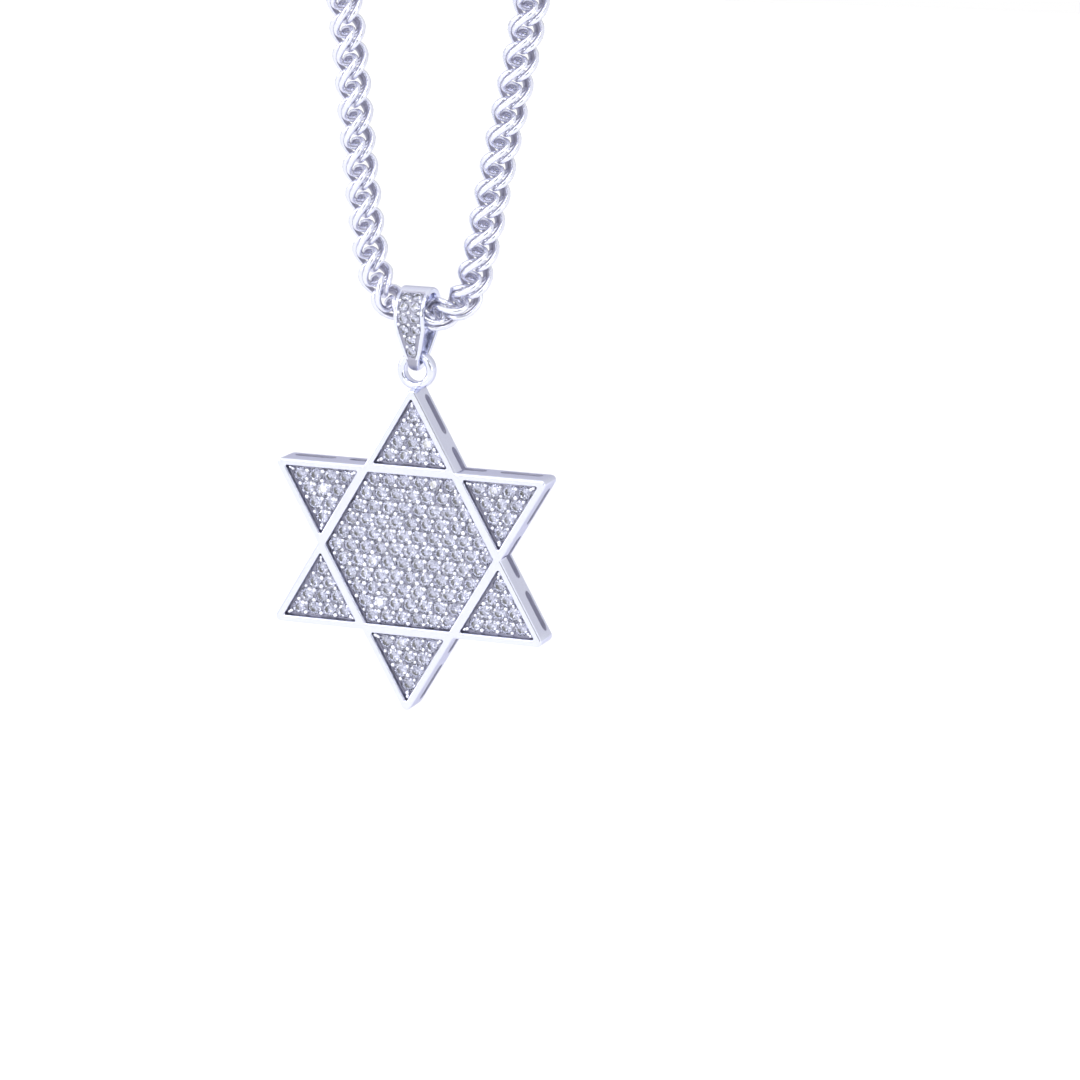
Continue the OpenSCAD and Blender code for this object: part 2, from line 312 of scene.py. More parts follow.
# The stones' places in one point of the star.
def pointSpots(turn):
    n = measures["inPoint"]
    middle = measures["base"] + measures["point"]
    return [turned(((k - (n - row - 1) / 2) * measures["pitch"],
                    middle + (row - (n - 1) / 3) * measures["row"]), turn)
            for row in range(n) for k in range(n - row)]


# Star coordinates: sideways, up and toward the front, from the star's middle.
def onStar(x, y, z):
    return (x, -z, star["height"] + y)


# The middle field's outline, and below it that of one point's field.
def hexOutline(grow):
    return roundedPolygon(6, measures["field"] + grow, star["bedCorner"] + grow)


def pointOutline(turn, grow):
    raw = roundedPolygon(3, measures["point"] + grow, star["bedCorner"] + grow, math.radians(90),
                         (0.0, measures["base"] + measures["point"]))
    return [turned(p, turn) for p in raw]


# A quarter-round edge as inset and drop pairs.
def quarterRound(radius, steps=4):
    turns = [math.pi / 2 * i / steps for i in range(steps + 1)]
    return [(radius * (1 - math.sin(a)), radius * (1 - math.cos(a))) for a in turns]


# One sunk bed with a seat under each stone. It gives the outline of the opening at the front.
def buildBed(shape, outlineAt, spots):
    front, bed, back = measures["front"], measures["bed"], measures["plateBack"]
    rings = []
    for inset, drop in quarterRound(star["bedEdge"]):
        rings.append(shape.add([onStar(x, y, front - drop) for x, y in outlineAt(inset)]))
    for low, high in zip(rings, rings[1:]):
        shape.strip(low, high)
    # the bed's lower wall and floor take the darker bed metal: painted shade
    shape.kind = 1
    foot = star["seatSink"]
    wallLow = shape.add([onStar(x, y, bed + foot) for x, y in outlineAt(0)])
    shape.strip(rings[-1], wallLow)
    seatTop = stones["width"] / 2 + stones["seatGap"]
    seatLow = stones["width"] / 2 * stones["seatHole"]
    verts, faces, loops = regionWithHoles(outlineAt(-foot), spots, seatTop, star["seatSteps"])
    ids = shape.add([onStar(x, y, bed) for x, y in verts])
    shape.faceAll(ids, faces)
    shape.strip(wallLow, [ids[i] for i in loops[0]])
    # the seats take the darker seat metal: painted shade under the stones
    shape.kind = 3
    for spot, loop in zip(spots, loops[1:]):
        low = shape.add([onStar(x, y, back) for x, y in circle(star["seatSteps"], seatLow, spot)])
        shape.strip([ids[i] for i in loop], low)
    shape.kind = 0
    return outlineAt(star["bedEdge"])


# Half the slots' height at points along one side, measured from the tip to the inner corner.
def slotProfile(edgeLength, halfHeight):
    turns = [math.pi / 2 * i / star["slotEndSteps"] for i in range(star["slotEndSteps"] + 1)]
    ease = [(halfHeight * (1 - math.cos(a)), halfHeight * math.sin(a)) for a in turns]
    start, end = star["slotFromTip"], star["slotFromTip"] + star["slotLength"]
    corner = edgeLength - star["cornerSlot"]
    return ([(start + d, h) for d, h in ease] + [(end - d, h) for d, h in reversed(ease)]
            + [(corner + d, h) for d, h in ease])


# Stations round the wall: outer point, inner point and half the slot's height there.
def wallStations(halfHeight):
    outer, inner = starOutline(0), starOutline(star["wall"])
    perPoint = len(outer) // 6
    onTip = star["tipSteps"] + 1
    edgeLength = star["across"] / 2 / math.sqrt(3)
    profile = slotProfile(edgeLength, halfHeight)
    stations = []
    for k in range(6):
        corner = np.array(turned((0, star["across"] / 2 / math.sqrt(3)), 60 * k + 30))
        for hand in (0, 1):
            tip = np.array(turned((0, star["across"] / 2), 60 * (k + hand)))
            way = (corner - tip) / edgeLength
            side = np.array([-way[1], way[0]]) * (1 if hand == 0 else -1)
            if np.dot(side, tip) > 0:
                side = -side
            first = k * perPoint + onTip // 2 if hand == 0 else (k + 1) * perPoint
            tipIds = [i % len(outer) for i in range(first, first + onTip // 2)]
            tips = [(outer[i], inner[i], 0.0) for i in tipIds]
            run = [(tuple(tip + way * d), tuple(tip + way * d + side * star["wall"]), h)
                   for d, h in profile]
            if hand == 0:
                stations += tips + run
                stations += [(outer[i], inner[i], halfHeight)
                             for i in range(k * perPoint + onTip, (k + 1) * perPoint)]
            else:
                stations += run[::-1] + tips
    return stations


# The whole casting but its top ring. Its materials are metal, and bed, inside and seat metal, which
# are darker as painted shade.
def buildStarFrame(materials):
    shape = Shape()
    front, back = measures["front"], measures["plateBack"]
    holes = [buildBed(shape, hexOutline, fieldSpots())]
    for k in range(6):
        holes.append(buildBed(shape, lambda grow, k=k: pointOutline(60 * k, grow),
                              pointSpots(60 * k)))

    # the flat front land between the beds and the outer edge
    land = starOutline(star["edge"])
    verts, faces, _ = regionWithHoles(land, [], 0, 0, holes)
    shape.faceAll(shape.add([onStar(x, y, front) for x, y in verts]), faces)

    # the rounded outer front edge
    rings = [shape.add([onStar(x, y, front - drop) for x, y in starOutline(inset)])
             for inset, drop in quarterRound(star["edge"], star["edgeSteps"])]
    for low, high in zip(rings, rings[1:]):
        shape.strip(low, high)

    # the slotted wall, outer skin, inner skin and the slots' own sides
    slotLow = -front + star["slotBack"]
    slotHigh = back - star["slotFront"]
    middle = (slotLow + slotHigh) / 2
    stations = wallStations((slotHigh - slotLow) / 2)
    edge = star["backEdge"]
    skins = []
    for side, top in ((0, front - star["edge"]), (1, back)):
        skins.append([shape.add([onStar(*s[side], top) for s in stations]),
                      shape.add([onStar(*s[side], middle + s[2]) for s in stations]),
                      shape.add([onStar(*s[side], middle - s[2]) for s in stations]),
                      shape.add([onStar(*s[side], edge - front) for s in stations])])
    outerIds, innerIds = skins
    # the inner skin and the slots' sides take the darker inside metal: painted shade
    for kind, skin in ((0, outerIds), (2, innerIds)):
        shape.kind = kind
        shape.strip(skin[0], skin[1])
        shape.strip(skin[2], skin[3])
    for i, station in enumerate(stations):
        j = (i + 1) % len(stations)
        if station[2] or stations[j][2]:
            for row in (1, 2):
                shape.face((outerIds[row][i], outerIds[row][j], innerIds[row][j], innerIds[row][i]))

    # the back rim with eased edges
    shape.kind = 0
    share = edge / star["wall"]
    outerLow = shape.add([onStar(p[0] + (q[0] - p[0]) * share, p[1] + (q[1] - p[1]) * share, -front)
                          for p, q, h in stations])
    innerLow = shape.add([onStar(q[0] + (p[0] - q[0]) * share, q[1] + (p[1] - q[1]) * share, -front)
                          for p, q, h in stations])
    shape.strip(outerIds[3], outerLow)
    shape.strip(outerLow, innerLow)
    shape.strip(innerLow, innerIds[3])

    # the back of the plate, with the seats' lower ends, in the darker inside metal as painted shade
    shape.kind = 2
    spots = fieldSpots() + [p for k in range(6) for p in pointSpots(60 * k)]
    inner = [q for p, q, h in stations]
    verts, faces, _ = regionWithHoles(inner, spots, stones["width"] / 2 * stones["seatHole"],
                                      star["seatSteps"])
    shape.faceAll(shape.add([onStar(x, y, back) for x, y in verts]), faces)
    addPiece("starFrame", shape, "star", materials, ["star_frame"])


# A round cut: table, star, kite and girdle facets above, kite facets below.
def cutStone(width):
    r = width / 2

    def ringOf(count, turn, radius, height):
        turns = [math.radians(360 / count * i + turn) for i in range(count)]
        return [(radius * math.cos(a), radius * math.sin(a), height) for a in turns]

    between = 22.5
    verts = (ringOf(8, between, r * stones["table"], width * stones["crown"])
             + ringOf(8, 0, r * stones["starReach"], width * stones["crown"] * stones["starHeight"])
             + ringOf(16, 0, r, width * stones["girdle"])
             + ringOf(16, 0, r, 0.0)
             + ringOf(8, between, r * stones["lowReach"],
                      -width * stones["pavilion"] * stones["lowHeight"])
             + [(0.0, 0.0, -width * stones["pavilion"])])
    # where the table, star, upper girdle, lower girdle, pavilion and low tip start
    t, s, h, l, b, c = 0, 8, 16, 32, 48, 56
    faces = [tuple(range(8))]
    for i in range(8):
        j, before = (i + 1) % 8, (i - 1) % 8
        left, mid, right = 2 * i, 2 * i + 1, (2 * i + 2) % 16
        faces += [(t + i, t + before, s + i), (t + i, s + i, h + mid, s + j),
                  (s + i, h + left, h + mid), (s + j, h + mid, h + right),
                  (l + left, b + i, l + mid), (l + mid, b + i, l + right),
                  (l + left, b + before, c, b + i)]
    faces += [(h + i, h + (i + 1) % 16, l + (i + 1) % 16, l + i) for i in range(16)]
    return verts, faces


# A field of stones as one piece, each turned and tilted a little by chance.
def placeStones(name, places, width, body, material, replaced, seed):
    rng = random.Random(seed)
    base, baseFaces = cutStone(width)
    lean = math.radians(stones["tilt"])
    shape = Shape()
    for place in places:
        own = (Matrix.Rotation(rng.uniform(-lean, lean), 4, "X")
               @ Matrix.Rotation(rng.uniform(-lean, lean), 4, "Y")
               @ Matrix.Rotation(rng.uniform(0, 2 * math.pi), 4, "Z"))
        shape.faceAll(shape.add([tuple(place @ own @ Vector(v)) for v in base]), baseFaces)
    addPiece(name, shape, body, [material], replaced, 0)


# A stone's place and upright direction on the star.
def starPlace(spot):
    return (Matrix.Translation(onStar(spot[0], spot[1], measures["bed"]))
            @ Matrix.Rotation(math.radians(90), 4, "X"))


grains = {"radius": 0.205, "rise": 0.20, "spread": 0.20, "drift": 0.05, "sink": 0.02,
          "footShare": 0.95, "wallRoom": 0.14, "cornerFromTip": 0.46, "ringSteps": 12,
          "heightSteps": 5, "sharpAngle": 60, "seed": 5}


# Whether a point is in an outline and at least room away from it.
def insideBed(point, outline, room):
    nearest = math.inf
    loop = np.array(outline)
    p = np.array(point)
    for a, b in zip(loop, np.roll(loop, -1, axis=0)):
        d = b - a
        length = np.dot(d, d)
        if length:
            t = np.clip(np.dot(p - a, d) / length, 0, 1)
            nearest = min(nearest, np.linalg.norm(p - a - t * d))
    return insideLoop(np.array([point]), loop)[0] and nearest >= room


# The gaps between three stones, and the far corners of each point's bed.
def grainSpots():
    spots = []
    beds = [(hexOutline(0), fieldSpots())]
    beds += [(pointOutline(60 * k, 0), pointSpots(60 * k)) for k in range(6)]
    for index, (outline, places) in enumerate(beds):
        found = {}
        turn = 0 if index == 0 else 60 * (index - 1)
        for p in places:
            for k in range(6):
                a = math.radians(30 + 60 * k + turn)
                reach = measures["pitch"] / math.sqrt(3)
                q = (p[0] + reach * math.cos(a), p[1] + reach * math.sin(a))
                key = (round(q[0], 2), round(q[1], 2))
                if insideBed(q, outline, grains["wallRoom"]):
                    found.setdefault(key, q)
        spots += list(found.values())
        if index:
            middle = turned((0, measures["base"] + measures["point"]), turn)
            for k in range(3):
                reach = 2 * measures["point"] - grains["cornerFromTip"]
                q = turned((0, reach), 120 * k + turn)
                spots.append((middle[0] + q[0], middle[1] + q[1]))
    return spots


# A little round-topped post standing on a face: spot gives a point for an offset and a height.
def addGrain(shape, spot, radius, rise, around):
    steps = grains["heightSteps"]
    turns = [math.pi / 2 * j / steps for j in range(steps)]
    profile = [(radius * grains["footShare"], -grains["sink"])]
    profile += [(radius * math.cos(a), rise + radius * math.sin(a)) for a in turns]
    rings = [shape.add([spot(x, y, z) for x, y in circle(around, r)]) for r, z in profile]
    for low, high in zip(rings, rings[1:]):
        shape.strip(low, high)
    shape.face(rings[-1])
    shape.face(rings[0])


# The grains that hold the star's stones, all as one piece, in a brighter metal whose colour paints
# their highlights.
def buildGrains(material):
    rng = random.Random(grains["seed"])
    shape = Shape()
    for place in grainSpots():
        radius = grains["radius"] * (1 + rng.uniform(-grains["spread"], grains["spread"]))
        px, py = (c + rng.uniform(-grains["drift"], grains["drift"]) for c in place)
        addGrain(shape, lambda x, y, z: onStar(px + x, py + y, measures["bed"] + z), radius,
                 grains["rise"], grains["ringSteps"])
    addPiece("settingGrains", shape, "star", [material], (), grains["sharpAngle"])


ring = {"outer": 3.3, "inner": 1.95, "depth": 1.2, "height": -249.5125, "steps": 72,
        "ease": 0.30, "easeSteps": 4}


# The ring at the star's upper tip, of a square wire with rounded edges.
def buildTopRing(material):
    wire = (ring["outer"] - ring["inner"]) / 2
    middle = (ring["outer"] + ring["inner"]) / 4
    ease = ring["ease"]
    profile = []
    for cx, cy, start in ((1, 1, 0), (-1, 1, 90), (-1, -1, 180), (1, -1, 270)):
        for i in range(ring["easeSteps"] + 1):
            a = math.radians(start + 90 * i / ring["easeSteps"])
            profile.append((middle + cx * (wire / 2 - ease) + ease * math.cos(a),
                            cy * (ring["depth"] / 2 - ease) + ease * math.sin(a)))
    shape = Shape()
    rings = []
    for k in range(ring["steps"]):
        a = 2 * math.pi * k / ring["steps"]
        rings.append(shape.add([(r * math.cos(a), -y, ring["height"] + r * math.sin(a))
                                for r, y in profile]))
    for k in range(ring["steps"]):
        shape.strip(rings[k], rings[(k + 1) % ring["steps"]])
    addPiece("topRing", shape, "star", [material])


# outline holds heights and shares of the taper, rows holds places along the leaf and stones there,
# and tongueSteps and facePoint pick the front of the foot, which takes the darker bed metal as
# painted shade.
bail = {"top": 2.7, "foot": 1.1, "thickness": 0.52, "footRadius": 0.85, "crownRadius": 1.85,
        "wire": -248.2, "height": 3.4, "lift": 0.1, "border": 0.3, "bed": 0.12, "edge": 0.12,
        "edgeShare": 0.3, "bedEdge": 0.04, "stone": 0.92, "stoneGap": 0.13,
        "outline": [(-0.326, -0.375), (-0.265, -0.163), (-0.206, -0.063), (-0.147, -0.013),
                    (-0.12, 0), (0.14, 0.35), (0.75, 1)],
        "rows": [(0.75, 1), (1.75, 1), (2.72, 2), (3.72, 2), (4.72, 2), (5.72, 2)],
        "bedFrom": 0.15, "bedTo": 6.3, "bedSteps": 29, "restSteps": 72, "seatSteps": 20,
        "tongueSteps": 9, "facePoint": 5}


# The sizes that follow from the bail's own: its upper arc's middle, its lean and its leaf's length.
def bailMeasures():
    crown = bail["wire"] + bail["height"] + bail["lift"]
    lean = math.asin((bail["crownRadius"] - bail["footRadius"]) / (crown - bail["wire"]))
    return {"crown": crown, "lean": lean, "leaf": (crown - bail["wire"]) * math.cos(lean)}


bailSizes = bailMeasures()


# Side view of the strap at distance s along it from the foot of the front leaf, and at a depth
# under its outer face: the point, the way out of the face, and the strap's whole length.
def strapSpot(s, depth):
    lean, leaf = bailSizes["lean"], bailSizes["leaf"]
    footR = bail["footRadius"] + bail["thickness"]
    crownR = bail["crownRadius"] + bail["thickness"]
    crownArc = crownR * (math.pi + 2 * lean)
    footArc = footR * (math.pi - 2 * lean)
    total = 2 * leaf + crownArc + footArc
    s = s % total
    if s < leaf:
        n = (-math.cos(lean), -math.sin(lean))
        p = (footR * n[0] - s * math.sin(lean), bail["wire"] + footR * n[1] + s * math.cos(lean))
    elif s < leaf + crownArc:
        a = -lean + (s - leaf) / crownR
        n = (-math.cos(a), math.sin(a))
        p = (crownR * n[0], bailSizes["crown"] + crownR * n[1])
    elif s < 2 * leaf + crownArc:
        u = leaf - (s - leaf - crownArc)
        n = (math.cos(lean), -math.sin(lean))
        p = (footR * n[0] + u * math.sin(lean), bail["wire"] + footR * n[1] + u * math.cos(lean))
    else:
        a = -lean - (s - 2 * leaf - crownArc) / footR
        n = (math.cos(a), math.sin(a))
        p = (footR * n[0], bail["wire"] + footR * n[1])
    return (p[0] - depth * n[0], p[1] - depth * n[1]), n, total


# Half the strap's width at a height.
def halfWidth(z):
    share = (z - bail["wire"]) / bail["height"]
    heights = [o[0] for o in bail["outline"]]
    shares = [o[1] for o in bail["outline"]]
    grow = float(np.interp(share, heights, shares))
    return bail["foot"] / 2 + grow * (bail["top"] - bail["foot"]) / 2


# Each stone's place on the bail, and the same as a distance along the strap and one across it.
def bailStonePlaces():
    pitch = bail["stone"] + bail["stoneGap"]
    places = []
    for s, count in bail["rows"]:
        (y, z), n, _ = strapSpot(s * pitch, bail["bed"])
        up = Vector((0, n[0], n[1]))
        turn = up.to_track_quat("Z", "X").to_matrix().to_4x4()
        for k in range(count):
            x = (k - (count - 1) / 2) * pitch
            places.append((Matrix.Translation((x, y, z)) @ turn, (s * pitch, x)))
    return places


# The strap: a closed band with a sunk bed of seats in its front leaf.
def buildBail(materials):
    shape = Shape()
    pitch = bail["stone"] + bail["stoneGap"]
    low, high = bail["bedFrom"] * pitch, bail["bedTo"] * pitch
    total = strapSpot(0, 0)[2]
    bedStations = list(np.linspace(low, high, bail["bedSteps"]))
    rest = list(np.linspace(high, low + total, bail["restSteps"]))[1:-1]
    stations = bedStations + rest
    inBed = [True] * len(bedStations) + [False] * len(rest)
    t, e, lip = bail["thickness"], bail["edge"], bail["bedEdge"]
    eased = e * bail["edgeShare"]
    columns = []
    for s in stations:
        (y0, z0), n, _ = strapSpot(s, 0)
        hw = halfWidth(strapSpot(s, t / 2)[0][1])
        b = bail["border"]
        d = bail["bed"] if s in bedStations[1:-1] else 0.0
        points = [(hw - e, t), (hw - eased, t - eased), (hw, t - e), (hw, e), (hw - eased, eased),
                  (hw - e, 0), (hw - b + lip, 0), (hw - b, min(d, lip)), (hw - b, d)]
        pts = [(x, y0 - p * n[0], z0 - p * n[1]) for x, p in points]
        columns.append(shape.add(pts + [(-x, y, z) for x, y, z in reversed(pts)]))
    size, count = len(columns[0]), len(columns)
    face = range(bail["facePoint"], size - bail["facePoint"] - 1)
    for i in range(count):
        j = (i + 1) % count
        onTongue = i >= count - bail["tongueSteps"]
        for k in range(size):
            after = (k + 1) % size
            if k == size // 2 - 1 and inBed[i] and inBed[j]:
                continue
            # the front of the foot takes the darker bed metal: painted shade
            shape.kind = 1 if onTongue and k in face else 0
            shape.face((columns[i][k], columns[i][after], columns[j][after], columns[j][k]))

    # the bed's floor with the seats, mapped from flat onto the leaf
    cuts = [halfWidth(strapSpot(s, t / 2)[0][1]) - bail["border"] for s in bedStations]
    flat = list(zip(bedStations, cuts)) + [(s, -c) for s, c in zip(bedStations[::-1], cuts[::-1])]
    spots = [spot for _, spot in bailStonePlaces()]
    seatTop = bail["stone"] / 2 + stones["seatGap"]
    seatLow = bail["stone"] / 2 * stones["seatHole"]
    verts, faces, loops = regionWithHoles(flat, spots, seatTop, bail["seatSteps"])

    def onLeaf(s, x, depth):
        (y, z), _, _ = strapSpot(s, depth)
        return (x, y, z)

    # the floor rises to the face at its two ends
    def floorDepth(s):
        return bail["bed"] if low + 1e-6 < s < high - 1e-6 else 0.0

    # the floor and the seats take the darker bed metal: painted shade between the stones
    shape.kind = 1
    ids = shape.add([onLeaf(s, x, floorDepth(s)) for s, x in verts])
    shape.faceAll(ids, faces)
    for spot, loop in zip(spots, loops[1:]):
        lowRing = shape.add([onLeaf(s, x, t) for s, x in circle(bail["seatSteps"], seatLow, spot)])
        shape.strip([ids[i] for i in loop], lowRing)
    addPiece("bailStrap", shape, "bail", materials, ["bail"])


# pairSide, singleSide and mixedSide are the grains' places across the leaf between two rows of
# two stones, between two rows of one, and where the number changes.
bailGrains = {"radius": 0.165, "rise": 0.07, "pairSide": 0.86, "singleSide": 0.3,
              "mixedSide": 0.45, "mixedDrop": 0.05, "limitShare": 0.7, "ringSteps": 10}


# The grains that hold the bail's stones, all as one piece, in the same brighter metal: painted
# highlight.
def buildBailGrains(material):
    pitch = bail["stone"] + bail["stoneGap"]
    spots = []
    rows = bail["rows"]
    for (s, count), (t, following) in zip(rows, rows[1:]):
        middle = (s + t) / 2 * pitch
        places = [bailGrains["singleSide"]]
        if count != following:
            middle -= bailGrains["mixedDrop"]
            places = [bailGrains["mixedSide"]]
        elif count == 2:
            places = [0.0, bailGrains["pairSide"] * pitch]
        for x in places:
            spots += [(middle, x), (middle, -x)] if x else [(middle, x)]
    shape = Shape()
    room = bail["border"] + bailGrains["radius"] * bailGrains["limitShare"]
    for s, x in spots:
        limit = halfWidth(strapSpot(s, bail["thickness"] / 2)[0][1]) - room
        x = max(-limit, min(limit, x))
        addGrain(shape, lambda u, v, h: (x + v, *strapSpot(s + u, bail["bed"] - h)[0]),
                 bailGrains["radius"], bailGrains["rise"], bailGrains["ringSteps"])
    addPiece("bailGrains", shape, "bail", [material], (), grains["sharpAngle"])


# Twisted oval rings, each turned a quarter from the last, so that every one passes through four.
# drop is the distance from the clasp down to the bail, and route the path at a drop of routeTop.
chain = {"wire": 0.272, "halfLength": 1.45, "halfWidth": 1.28, "ringTwist": -112.0,
         "squareness": 2.8, "pitch": 1.165, "ringSteps": 36, "around": 8, "endRoom": 1.8,
         "shadeLimit": -0.35, "squeeze": 0.07, "squeezeLength": 4.0, "curveSteps": 40,
         "tableSteps": 6000, "inBore": 0.1, "sharpAngle": 80, "drop": 247.0, "routeTop": 247.0,
         "clasp": 2.2,
         "route": [(-7, 247), (-17, 245.5), (-33, 238), (-44, 222), (-46.5, 200), (-41, 174),
                   (-30.5, 138), (-19.5, 98), (-11.5, 58), (-7, 26), (-5.5, 13), (-4.5, 5.8),
                   (-3.8, 3), (-2.3, 0.8), (0, 0), (2.3, 0.4), (4.4, 2), (5.5, 5.6), (7, 13.5),
                   (9.4, 26), (14.5, 58), (22.5, 98), (32, 138), (41.5, 174), (46.5, 200),
                   (44, 222), (33, 238), (17, 245.5), (7, 247)]}


# The middle line of one ring, lying along the chain.
def ringLine():
    power = 2 / chain["squareness"]
    line = []
    for k in range(chain["ringSteps"]):
        a = 2 * math.pi * k / chain["ringSteps"]
        across = chain["halfWidth"] * math.copysign(abs(math.cos(a)) ** power, math.cos(a))
        along = chain["halfLength"] * math.copysign(abs(math.sin(a)) ** power, math.sin(a))
        turn = math.radians(chain["ringTwist"] / 2) * along / chain["halfLength"]
        line.append((across * math.cos(turn), across * math.sin(turn), along))
    return np.array(line)


# A closed wire around a line of points, as rings of points.
def wireRings(line, radius, around):
    ahead = np.roll(line, -1, axis=0) - np.roll(line, 1, axis=0)
    ahead /= np.linalg.norm(ahead, axis=1)[:, None]
    anyWay = [0.3, 0.5, 0.8]
    side = np.cross(ahead[0], anyWay)
    side /= np.linalg.norm(side)
    sides = []
    for t in ahead:
        side = side - t * np.dot(side, t)
        side /= np.linalg.norm(side)
        sides.append(side.copy())
    side = sides[-1] - ahead[0] * np.dot(sides[-1], ahead[0])
    side /= np.linalg.norm(side)
    off = math.atan2(np.dot(np.cross(sides[0], side), ahead[0]), np.dot(sides[0], side))
    rings = []
    for i, (p, t, s) in enumerate(zip(line, ahead, sides)):
        up = np.cross(t, s)
        for k in range(around):
            a = 2 * math.pi * k / around - off * i / len(line)
            rings.append(p + radius * (s * math.cos(a) + up * math.sin(a)))
    return np.array(rings)


# The faces of such a wire.
def wireFaces(count, around):
    return [(i * around + k, i * around + (k + 1) % around,
             (i + 1) % count * around + (k + 1) % around, (i + 1) % count * around + k)
            for i in range(count) for k in range(around)]


# The chain's route at even distances: how far along, the points, and the way ahead at each.
def routeTable():
    low = chain["clasp"] - chain["drop"]
    points = [(x, low + z * chain["drop"] / chain["routeTop"]) for x, z in chain["route"]]
    end = clasp["length"] / 2 - clasp["bore"] + chain["inBore"]
    points = np.array([(-end, chain["clasp"])] + points + [(end, chain["clasp"])], float)
    made = []
    for i in range(len(points) - 1):
        a, b = points[max(i - 1, 0)], points[i]
        c, d = points[i + 1], points[min(i + 2, len(points) - 1)]
        for t in np.arange(chain["curveSteps"]) / chain["curveSteps"]:
            made.append(0.5 * (2 * b + (c - a) * t + (2 * a - 5 * b + 4 * c - d) * t * t
                               + (3 * b - a - 3 * c + d) * t ** 3))
    made.append(points[-1])
    made = np.array(made)
    run = np.concatenate([[0], np.cumsum(np.linalg.norm(np.diff(made, axis=0), axis=1))])
    even = np.linspace(0, run[-1], chain["tableSteps"])
    line = np.stack([np.interp(even, run, made[:, 0]), np.interp(even, run, made[:, 1])], 1)
    way = np.gradient(line, axis=0)
    way /= np.linalg.norm(way, axis=1)[:, None]
    return even, line, way


# Bends points that lie along a straight chain onto the route, a little slimmer within the bail.
def alongRoute(table, s, points, middle):
    even, line, way = table
    at = s + points[:, 2]
    slim = 1 - chain["squeeze"] * np.exp(-((at - middle) / chain["squeezeLength"]) ** 2)
    points = points * np.stack([slim, slim, np.ones(len(at))], 1)
    px, pz = np.interp(at, even, line[:, 0]), np.interp(at, even, line[:, 1])
    tx, tz = np.interp(at, even, way[:, 0]), np.interp(at, even, way[:, 1])
    size = np.hypot(tx, tz)
    return np.stack([px - points[:, 0] * tz / size, points[:, 1], pz + points[:, 0] * tx / size], 1)


# Which faces of a ring's wire look in toward the middle of the chain: these get the darker metal as
# painted shade.
def chainShadeKinds(rings, faces):
    centres = np.repeat(ringLine(), chain["around"], axis=0)
    outward = centres * [1, 1, 0]
    outward /= np.linalg.norm(outward, axis=1)[:, None] + 1e-9
    facing = ((rings - centres) / chain["wire"] * outward).sum(axis=1)
    return [1 if np.mean(facing[list(f)]) < chain["shadeLimit"] else 0 for f in faces]


# Both strands of links, which meet under the bail. Its materials are link, and a darker one for
# painted shade on the links' inner faces.
def buildChain(materials):
    table = routeTable()
    even, line = table[0], table[1]
    middle = even[np.argmin(line[:, 1])]
    rings = wireRings(ringLine(), chain["wire"], chain["around"])
    quarter = rings[:, [1, 0, 2]] * [-1, 1, 1]
    faces = wireFaces(chain["ringSteps"], chain["around"])
    kinds = chainShadeKinds(rings, faces)
    run = even[-1] - 2 * chain["endRoom"]
    count = round(run / chain["pitch"])
    halves = {"chainLeft": Shape(), "chainRight": Shape()}
    for i in range(count + 1):
        s = chain["endRoom"] + run * i / count
        shape = halves["chainLeft" if s < middle else "chainRight"]
        ids = shape.add(alongRoute(table, s, quarter if i % 2 else rings, middle).tolist())
        for f, kind in zip(faces, kinds):
            shape.kind = kind
            shape.face([ids[k] for k in f])
    for name, replaced in (("chainLeft", ["chain"]), ("chainRight", ())):
        addPiece(name, halves[name], "necklace", materials, replaced,
                 chain["sharpAngle"])


clasp = {"width": 4.4, "length": 12.0, "bore": 1.5, "boreWidth": 3.25, "collar": 0.55,
         "neckDrop": 0.4125, "endDrop": 0.275, "edge": 0.12, "edgeShare": 0.3, "seamHalf": 0.05,
         "seamDepth": 0.06, "boreFloor": 0.001, "steps": 64}


# A barrel with a fine seam round its middle, a neck and a collar at each end, and an open bore.
def buildClasp(material):
    r, half, collar, e = clasp["width"] / 2, clasp["length"] / 2, clasp["collar"], clasp["edge"]
    seam, deep, eased = clasp["seamHalf"], clasp["seamDepth"], e * clasp["edgeShare"]
    neck, end = r - clasp["neckDrop"], r - clasp["endDrop"]
    barrel, rim, floor = half - 2 * collar, half - collar, half - clasp["bore"]
    hole = clasp["boreWidth"] / 2
    side = [(0.0, r - deep), (seam, r - deep), (seam + deep, r), (barrel - e, r),
            (barrel - eased, r - eased), (barrel, r - e), (barrel, neck), (rim, neck),
            (rim, end - e), (rim + eased, end - eased), (rim + e, end), (half - e, end),
            (half - eased, end - eased), (half, end - e), (half, hole + e),
            (half - eased, hole + eased), (half - e, hole), (floor, hole),
            (floor, clasp["boreFloor"])]
    profile = [(-x, y) for x, y in reversed(side)][:-1] + side
    shape = Shape()
    rings = [shape.add([(x, y * math.sin(2 * math.pi * k / clasp["steps"]),
                         chain["clasp"] + y * math.cos(2 * math.pi * k / clasp["steps"]))
                        for k in range(clasp["steps"])]) for x, y in profile]
    for low, high in zip(rings, rings[1:]):
        shape.strip(low, high)
    addPiece("barrelClasp", shape, "necklace", [material], ["clasp"])


